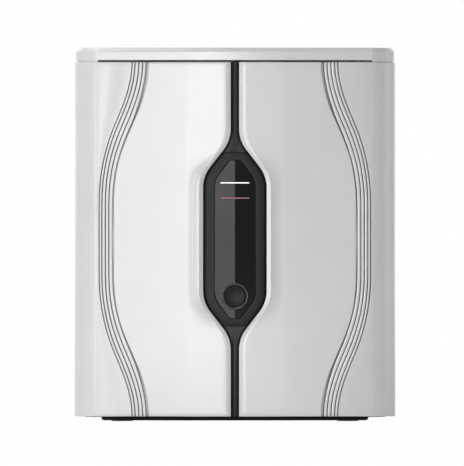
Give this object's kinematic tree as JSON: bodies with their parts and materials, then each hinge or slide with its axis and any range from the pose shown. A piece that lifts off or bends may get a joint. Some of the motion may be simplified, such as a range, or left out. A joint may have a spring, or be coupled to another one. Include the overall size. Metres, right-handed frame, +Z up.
{
  "type": "laboratory water purification system",
  "caption": "Benchtop water purification unit: wrap-round doors, a central spine with a display pod and round push dial, cartridges in its bays, rear fittings.",
  "frame": {"origin": "centre of the footprint, on the bench", "axes": "+Z up, +Y towards the back, so the front faces -Y"},
  "size_m": [0.376, 0.34, 0.4377],
  "materials": {
    "white_moulding": "satin moulded",
    "black_moulding": "fine grained moulded",
    "satin_black": "satin",
    "gloss_black": "gloss",
    "white_light_guide": "smooth translucent",
    "red_light_guide": "smooth translucent",
    "zinc_steel": "zinc plated",
    "stainless_steel": "brushed",
    "rubber": "matte",
    "grey_moulding": "matte moulded",
    "blue_moulding": "satin moulded",
    "circuit_board": "solder resist",
    "brass": "turned",
    "water_line": "smooth"
  },
  "bodies": {
    "chassis": {"base_tray": "black_moulding", "boost_pump": "stainless_steel", "bulkhead": "zinc_steel", "conductivity_cell": "grey_moulding", "control_bezel": "satin_black", "control_ring": "satin_black", "controller_board": "circuit_board", "display_board": "circuit_board", "display_window": "gloss_black", "drain_fitting": "grey_moulding", "encoder_body": "zinc_steel", "feed_fitting": "grey_moulding", "feed_line": "water_line", "inlet_valve": "blue_moulding", "lamp_ballast": "zinc_steel", "left_cartridge_head": "grey_moulding", "left_cartridge_seat": "grey_moulding", "left_catch_plate": "zinc_steel", "left_lower_hinge": "zinc_steel", "left_side_panel": "white_moulding", "left_upper_hinge": "zinc_steel", "lid": "white_moulding", "mains_inlet": "black_moulding", "osmosis_module": "white_moulding", "osmosis_saddle": "grey_moulding", "permeate_line": "water_line", "power_supply": "zinc_steel", "pressure_regulator": "brass", "product_fitting": "grey_moulding", "product_line": "water_line", "rear_panel": "white_moulding", "recirculation_line": "water_line", "recirculation_pump": "stainless_steel", "red_status_light": "red_light_guide", "right_cartridge_head": "grey_moulding", "right_cartridge_seat": "grey_moulding", "right_catch_plate": "zinc_steel", "right_lower_hinge": "zinc_steel", "right_side_panel": "white_moulding", "right_upper_hinge": "zinc_steel", "rubber_foot_1": "rubber", "rubber_foot_2": "rubber", "rubber_foot_3": "rubber", "rubber_foot_4": "rubber", "spine_column": "zinc_steel", "spine_panel": "black_moulding", "switch_frame": "black_moulding", "top_frame": "zinc_steel", "ultraviolet_chamber": "stainless_steel", "ultraviolet_saddle": "grey_moulding", "white_status_light": "white_light_guide"},
    "left_door": {"left_door": "white_moulding", "left_door_magnet": "stainless_steel"},
    "right_door": {"right_door": "white_moulding", "right_door_magnet": "stainless_steel"},
    "encoder_plunger": {"encoder_plunger": "zinc_steel"},
    "control_knob": {"control_knob": "satin_black"},
    "switch_rocker": {"switch_rocker": "black_moulding"},
    "left_cartridge": {"left_cartridge": "blue_moulding"},
    "right_cartridge": {"right_cartridge": "white_moulding"}
  },
  "joints": [
    {"name": "left_door_hinge", "type": "hinge", "parent": "chassis", "child": "left_door", "pos_m": [-0.1845, -0.10632, 0.21315], "axis": [0, 0, -1], "range_deg": [0, 100]},
    {"name": "right_door_hinge", "type": "hinge", "parent": "chassis", "child": "right_door", "pos_m": [0.1845, -0.10632, 0.21315], "axis": [0, 0, 1], "range_deg": [0, 100]},
    {"name": "control_press", "type": "slide", "parent": "chassis", "child": "encoder_plunger", "axis": [0, 1, 0], "range_m": [0, 0.0012], "stiffness_N_per_m": 800, "springref_m": -0.002},
    {"name": "control_turn", "type": "hinge", "parent": "encoder_plunger", "child": "control_knob", "pos_m": [0, -0.16692, 0.1463], "axis": [0, 1, 0], "continuous": true},
    {"name": "power_switch", "type": "hinge", "parent": "chassis", "child": "switch_rocker", "pos_m": [0.125, 0.1503, 0.185], "axis": [-1, 0, 0], "range_deg": [0, 14]},
    {"name": "left_cartridge_turn", "type": "hinge", "parent": "chassis", "child": "left_cartridge", "pos_m": [-0.109, -0.09632, 0], "axis": [0, 0, 1], "range_deg": [0, 45]},
    {"name": "right_cartridge_turn", "type": "hinge", "parent": "chassis", "child": "right_cartridge", "pos_m": [0.109, -0.09632, 0], "axis": [0, 0, 1], "range_deg": [0, 45]}
  ]
}
